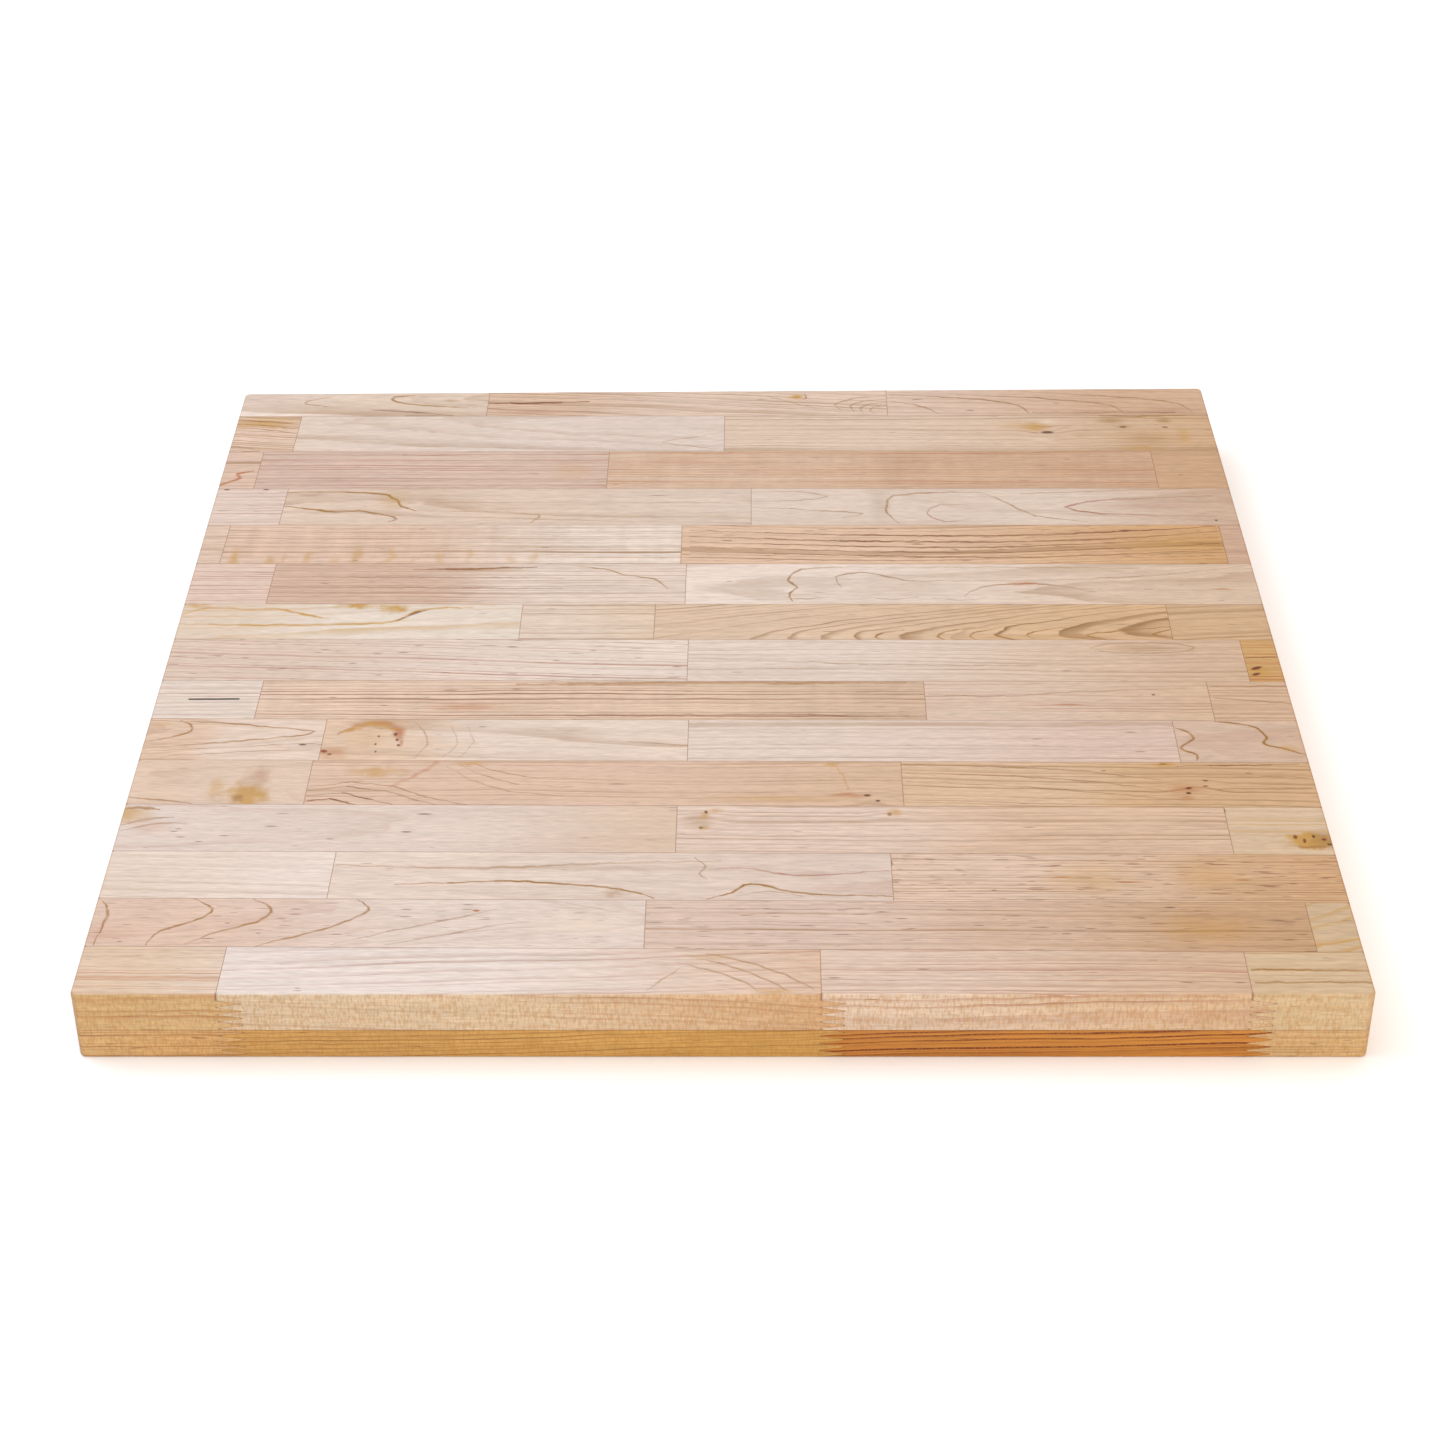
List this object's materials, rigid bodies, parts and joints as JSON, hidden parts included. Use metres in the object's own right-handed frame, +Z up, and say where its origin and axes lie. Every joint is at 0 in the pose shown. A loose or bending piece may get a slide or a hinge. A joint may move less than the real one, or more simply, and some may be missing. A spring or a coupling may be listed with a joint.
{
  "type": "butcher block table top",
  "caption": "Square butcher-block table top: maple rails finger-jointed end to end from two-ply blocks, glued edge to edge, with eased edges and rounded corners.",
  "frame": {"origin": "centre of the underside", "axes": "X along the rails, +Y to the back edge, +Z up out of the top face"},
  "size_m": [0.6096, 0.6096, 0.0381],
  "materials": {
    "maple_cream": "sanded and oiled pale sapwood maple, satin",
    "maple_pink": "sanded and oiled pinkish maple, satin",
    "maple_tan": "sanded and oiled tan maple, satin",
    "maple_brown": "sanded and oiled striped heartwood maple, satin"
  },
  "bodies": {
    "root": {"rail_01_block_a": "maple_cream", "rail_01_block_b": "maple_tan", "rail_01_block_c": "maple_pink", "rail_02_block_a": "maple_tan", "rail_02_block_b": "maple_cream", "rail_02_block_c": "maple_cream", "rail_03_block_a": "maple_pink", "rail_03_block_b": "maple_pink", "rail_03_block_c": "maple_tan", "rail_03_block_d": "maple_tan", "rail_04_block_a": "maple_pink", "rail_04_block_b": "maple_cream", "rail_04_block_c": "maple_cream", "rail_05_block_a": "maple_pink", "rail_05_block_b": "maple_tan", "rail_05_block_c": "maple_brown", "rail_05_block_d": "maple_pink", "rail_06_block_a": "maple_pink", "rail_06_block_b": "maple_brown", "rail_06_block_c": "maple_cream", "rail_07_block_a": "maple_cream", "rail_07_block_b": "maple_cream", "rail_07_block_c": "maple_tan", "rail_07_block_d": "maple_tan", "rail_08_block_a": "maple_pink", "rail_08_block_b": "maple_cream", "rail_08_block_c": "maple_tan", "rail_09_block_a": "maple_cream", "rail_09_block_b": "maple_brown", "rail_09_block_c": "maple_pink", "rail_09_block_d": "maple_pink", "rail_10_block_a": "maple_cream", "rail_10_block_b": "maple_cream", "rail_10_block_c": "maple_cream", "rail_10_block_d": "maple_pink", "rail_11_block_a": "maple_tan", "rail_11_block_b": "maple_tan", "rail_11_block_c": "maple_tan", "rail_12_block_a": "maple_pink", "rail_12_block_b": "maple_tan", "rail_12_block_c": "maple_cream", "rail_13_block_a": "maple_cream", "rail_13_block_b": "maple_cream", "rail_13_block_c": "maple_tan", "rail_14_block_a": "maple_pink", "rail_14_block_b": "maple_tan", "rail_14_block_c": "maple_cream", "rail_15_block_a": "maple_tan", "rail_15_block_b": "maple_cream", "rail_15_block_c": "maple_pink", "rail_15_block_d": "maple_cream"}
  },
  "joints": []
}
